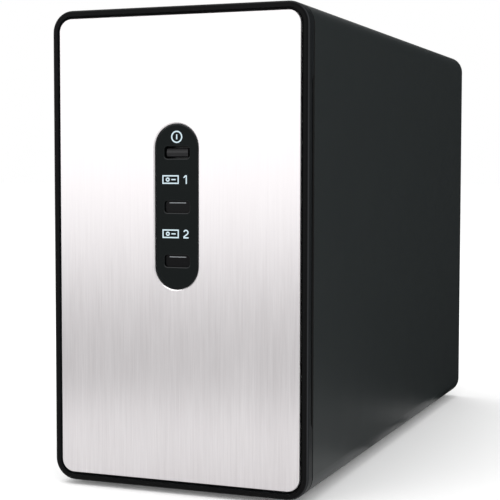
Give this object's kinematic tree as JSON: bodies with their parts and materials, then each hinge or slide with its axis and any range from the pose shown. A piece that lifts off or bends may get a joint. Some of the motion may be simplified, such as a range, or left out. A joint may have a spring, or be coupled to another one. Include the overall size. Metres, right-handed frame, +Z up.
{
  "type": "network attached storage",
  "caption": "Upright two-bay desktop storage box: black tube shell, brushed metal front with a pill-shaped control strip, rear sled carrying drives, board, fan and sockets.",
  "frame": {"origin": "under the middle of the overall box, on the surface that the feet stand on", "axes": "+Z up, the front faces -Y, +X is the right side seen from the front"},
  "size_m": [0.09, 0.2256, 0.158],
  "materials": {
    "shell_paint": "satin black coat on extruded aluminium",
    "bezel_plastic": "fine-textured black",
    "black_steel": "black oxide",
    "brushed_plate": "vertically brushed, clear anodised",
    "adhesive_sheet": "grey foam tape",
    "strip_plastic": "semi-gloss black",
    "button_plastic": "semi-gloss dark grey",
    "smoked_lens": "smoked, translucent",
    "circuit_board": "green solder mask",
    "zinc_steel": "zinc plated",
    "lamp": "clear encapsulant",
    "socket_plastic": "moulded black",
    "reset_plastic": "moulded grey",
    "foot_rubber": "matte black",
    "panel_paint": "fine-textured black",
    "thumb_steel": "nickel plated",
    "zinc_sheet": "zinc-coated sheet",
    "cast_aluminium": "as cast",
    "drive_cover": "pressed stainless",
    "disc_mirror": "polished",
    "arm_metal": "machined",
    "drive_card": "blue-green solder mask",
    "standoff_brass": "turned",
    "chip_plastic": "moulded epoxy",
    "anodised_sink": "dark anodised",
    "capacitor_can": "sleeved can",
    "cell_steel": "plain steel",
    "port_can": "tinned sheet",
    "inlet_plastic": "moulded black",
    "fan_plastic": "moulded black",
    "rotor_plastic": "moulded black",
    "lead_sleeve": "black sleeve",
    "header_plastic": "moulded natural",
    "label_ink": "white printed symbols"
  },
  "bodies": {
    "case": {"shell": "shell_paint", "bezel": "bezel_plastic", "bezel_screws": "black_steel", "front_plate": "brushed_plate", "plate_adhesive": "adhesive_sheet", "control_strip": "strip_plastic", "drive_1_lens": "smoked_lens", "drive_2_lens": "smoked_lens", "front_board": "circuit_board", "front_board_screws": "zinc_steel", "front_lights": "lamp", "power_switch": "socket_plastic", "front_socket": "socket_plastic", "foot_front_left": "foot_rubber", "foot_front_right": "foot_rubber", "foot_rear_left": "foot_rubber", "foot_rear_right": "foot_rubber"},
    "sled": {"rear_panel": "panel_paint", "drive_tray": "zinc_sheet", "cage_top": "zinc_sheet", "drive_screws": "zinc_steel", "cage_screws": "black_steel", "backplane": "circuit_board", "backplane_socket": "socket_plastic", "main_board": "circuit_board", "board_standoffs": "standoff_brass", "board_screws": "zinc_steel", "processor": "chip_plastic", "heat_sink": "anodised_sink", "memory_chips": "chip_plastic", "capacitors": "capacitor_can", "cell_holder": "socket_plastic", "coin_cell": "cell_steel", "network_jack": "port_can", "usb_port_1": "port_can", "usb_port_2": "port_can", "power_inlet": "inlet_plastic", "reset_switch": "socket_plastic", "fan_frame": "fan_plastic", "fan_screws": "black_steel", "fan_lead": "lead_sleeve", "fan_header": "header_plastic", "drive_1_casting": "cast_aluminium", "drive_1_cover": "drive_cover", "drive_1_board": "drive_card", "drive_1_socket": "socket_plastic", "drive_2_casting": "cast_aluminium", "drive_2_cover": "drive_cover", "drive_2_board": "drive_card", "drive_2_socket": "socket_plastic"},
    "power_button": {"power_button": "button_plastic", "switch_plunger": "reset_plastic"},
    "reset_button": {"reset_button": "reset_plastic"},
    "fan_rotor": {"fan_rotor": "rotor_plastic"},
    "thumbscrew_left": {"thumbscrew_left": "thumb_steel"},
    "thumbscrew_right": {"thumbscrew_right": "thumb_steel"},
    "drive_1_platters": {"drive_1_platters": "disc_mirror"},
    "drive_2_platters": {"drive_2_platters": "disc_mirror"},
    "drive_1_head_arm": {"drive_1_head_arm": "arm_metal"},
    "drive_2_head_arm": {"drive_2_head_arm": "arm_metal"}
  },
  "joints": [
    {"name": "power_button_press", "type": "slide", "parent": "case", "child": "power_button", "axis": [0, 1, 0], "range_m": [0, 0.0006], "stiffness_N_per_m": 600, "springref_m": -0.001},
    {"name": "sled_slide", "type": "slide", "parent": "case", "child": "sled", "axis": [0, 1, 0], "range_m": [0, 0.19]},
    {"name": "reset_button_press", "type": "slide", "parent": "sled", "child": "reset_button", "axis": [0, -1, 0], "range_m": [0, 0.0008], "stiffness_N_per_m": 600, "springref_m": -0.001},
    {"name": "fan_spin", "type": "hinge", "parent": "sled", "child": "fan_rotor", "pos_m": [-0.0125, 0.09825, 0.062], "axis": [0, 1, 0], "continuous": true},
    {"name": "thumbscrew_left_turn", "type": "hinge", "parent": "sled", "child": "thumbscrew_left", "pos_m": [-0.032, 0.10625, 0.1507], "axis": [0, 1, 0], "continuous": true},
    {"name": "thumbscrew_right_turn", "type": "hinge", "parent": "sled", "child": "thumbscrew_right", "pos_m": [0.032, 0.10625, 0.1507], "axis": [0, 1, 0], "continuous": true},
    {"name": "drive_1_spin", "type": "hinge", "parent": "sled", "child": "drive_1_platters", "pos_m": [-0.0331, -0.03925, 0.0585], "axis": [1, 0, 0], "continuous": true},
    {"name": "drive_1_seek", "type": "hinge", "parent": "sled", "child": "drive_1_head_arm", "pos_m": [-0.0331, 0.01275, 0.0345], "axis": [1, 0, 0], "range_deg": [0, 33.9]},
    {"name": "drive_2_spin", "type": "hinge", "parent": "sled", "child": "drive_2_platters", "pos_m": [-0.002, -0.03925, 0.0585], "axis": [1, 0, 0], "continuous": true},
    {"name": "drive_2_seek", "type": "hinge", "parent": "sled", "child": "drive_2_head_arm", "pos_m": [-0.002, 0.01275, 0.0345], "axis": [1, 0, 0], "range_deg": [0, 33.9]}
  ]
}
